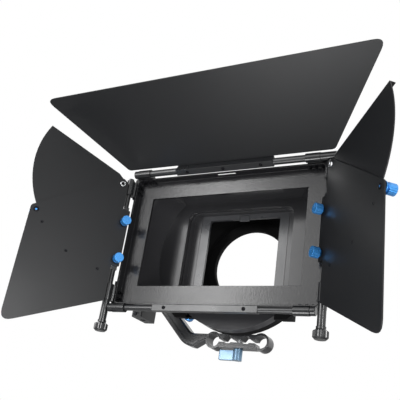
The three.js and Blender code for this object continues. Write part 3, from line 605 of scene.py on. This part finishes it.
def floor_paint():
    """Matt white floor paint, rolled on: an even pale grey with a faint mottle."""
    made, tree, place = begin("pale_floor_paint")
    mottle = add(tree, "ShaderNodeTexNoise", {"Vector": place}, Scale=per_metre(MOTTLE), Detail=3.0)
    tint = add(tree, "ShaderNodeMix", {"Factor": mottle}, data_type="RGBA",
               A=linear("#bebebe"), B=linear("#c6c6c6"))
    # the camera sees it paler, as the background is, and the part's underside mirrors it as it is
    seen = add(tree, "ShaderNodeLightPath").outputs["Is Camera Ray"]
    paler = add(tree, "ShaderNodeMath", {0: seen, 1: FLOOR_LIFT}, operation="MULTIPLY")
    shader = add(tree, "ShaderNodeBsdfPrincipled", {"Base Color": tint, "Emission Strength": paler},
                 Roughness=0.8, Emission_Color=(1, 1, 1, 1))
    add(tree, "ShaderNodeOutputMaterial", {"Surface": shader})
    return made


def floor():
    """The studio's floor."""
    mesh = bmesh.new()
    bmesh.ops.create_grid(mesh, x_segments=2, y_segments=2, size=FLOOR_HALF)
    data = bpy.data.meshes.new("floor")
    mesh.to_mesh(data)
    mesh.free()
    data.materials.append(floor_paint())
    made = bpy.data.objects.new("floor", data)
    made.location.z = FLOOR_Z
    bpy.context.scene.collection.objects.link(made)


def surround():
    """White all round for the camera, mirrored and clear surfaces, and a softer fill for the rest."""
    world = bpy.data.worlds.new("surround")
    world.use_nodes = True
    bpy.context.scene.world = world
    tree = world.node_tree
    tree.nodes.clear()
    rays = add(tree, "ShaderNodeLightPath").outputs
    seen = add(tree, "ShaderNodeMath", {0: rays["Is Camera Ray"], 1: rays["Is Glossy Ray"]},
               operation="MAXIMUM")
    white_rays = add(tree, "ShaderNodeMath", {0: seen, 1: rays["Is Transmission Ray"]}, operation="MAXIMUM")
    white = add(tree, "ShaderNodeBackground", Color=(1, 1, 1, 1), Strength=1.0)
    fill = add(tree, "ShaderNodeBackground", Color=(1, 1, 1, 1), Strength=SURROUND_FILL)
    either = add(tree, "ShaderNodeMixShader", {0: white_rays, 1: fill, 2: white})
    add(tree, "ShaderNodeOutputWorld", {"Surface": either})


def softbox(name, at, target, width, height, power):
    """A soft rectangular lamp that doesn't show itself to the camera."""
    lamp = bpy.data.lights.new(name, "AREA")
    lamp.shape = "RECTANGLE"
    lamp.size = width
    lamp.size_y = height
    lamp.energy = power
    made = bpy.data.objects.new(name, lamp)
    made.location = at
    made.rotation_euler = (Vector(target) - Vector(at)).to_track_quat("-Z", "Y").to_euler()
    made.visible_camera = False
    bpy.context.scene.collection.objects.link(made)


floor()
surround()

# Lamps, in metres and watts, each with what it does on the part

# The bezel mirrors this tall lamp as the bright stretch of its level members
softbox("front_left", at=(-0.58, -1.18, 0.38), target=(0, -0.05, 0.1), width=0.24, height=0.8, power=6.2)
# A weaker one, mirrored further right: the bezel's right member and the hood's right wall
softbox("front", at=(-0.3, -1.32, 0.5), target=(0, -0.05, 0.1), width=0.3, height=0.6, power=0.9)
# The arm and the clamp, from under the bottom bar
softbox("front_low", at=(-0.6, -1.05, -0.02), target=(0, -0.02, 0), width=0.24, height=0.3, power=1.8)
# A sheen on the left flag's lower outer corner, on the left knobs and on the stems
softbox("right_corner", at=(0.84, -0.8, 0.17), target=(-0.17, -0.15, 0.02),
        width=0.22, height=0.22, power=2.4)
# The lower face of the top flag, the hood's roof and the rim of the stage
softbox("under", at=(-0.02, -0.44, -0.56), target=(0.05, -0.15, 0.2), width=0.5, height=0.24, power=3.2)
# A sheen on the upper part of the right flag
softbox("behind_left", at=(-1.0, 0.24, 0.66), target=(0.1, -0.1, 0.1), width=0.6, height=0.6, power=5.0)
# The left wall of the hood, and the left knobs
softbox("low_right", at=(0.95, -0.7, -0.25), target=(-0.05, -0.05, 0.1),
        width=0.35, height=0.35, power=5.5)


# Camera fitted to the photograph's view

# The photograph's side, and its focal length and optical centre, in pixels
IMAGE_SIDE = 400
FOCAL_LENGTH = 604.49
OPTICAL_CENTRE = (199.62, 201.6)
# The sensor's width, in millimetres
SENSOR = 36.0
# The nearest point in view and the camera's place, in metres, then the directions of its view and its right
NEAR_LIMIT = 0.02
CAMERA_AT = (0.2933, -0.6401, -0.1429)
CAMERA_FORWARD = (-0.4586, 0.7916, 0.4039)
CAMERA_RIGHT = (0.8863, 0.4406, 0.1427)


def photo_camera():
    """Below and to the right of the part, looking up into the hood."""
    data = bpy.data.cameras.new("photo_view")
    data.sensor_width = SENSOR
    data.lens = SENSOR * FOCAL_LENGTH / IMAGE_SIDE
    data.shift_x = (IMAGE_SIDE / 2 - OPTICAL_CENTRE[0]) / IMAGE_SIDE
    data.shift_y = (OPTICAL_CENTRE[1] - IMAGE_SIDE / 2) / IMAGE_SIDE
    data.clip_start = NEAR_LIMIT
    made = bpy.data.objects.new("photo_view", data)
    forward = Vector(CAMERA_FORWARD).normalized()
    up = Vector(CAMERA_RIGHT).cross(forward).normalized()
    right = forward.cross(up)
    turn = Matrix((right, up, -forward)).transposed().to_4x4()
    made.matrix_world = Matrix.Translation(CAMERA_AT) @ turn
    bpy.context.scene.collection.objects.link(made)
    bpy.context.scene.camera = made


photo_camera()
bpy.context.scene.view_settings.view_transform = "Standard"
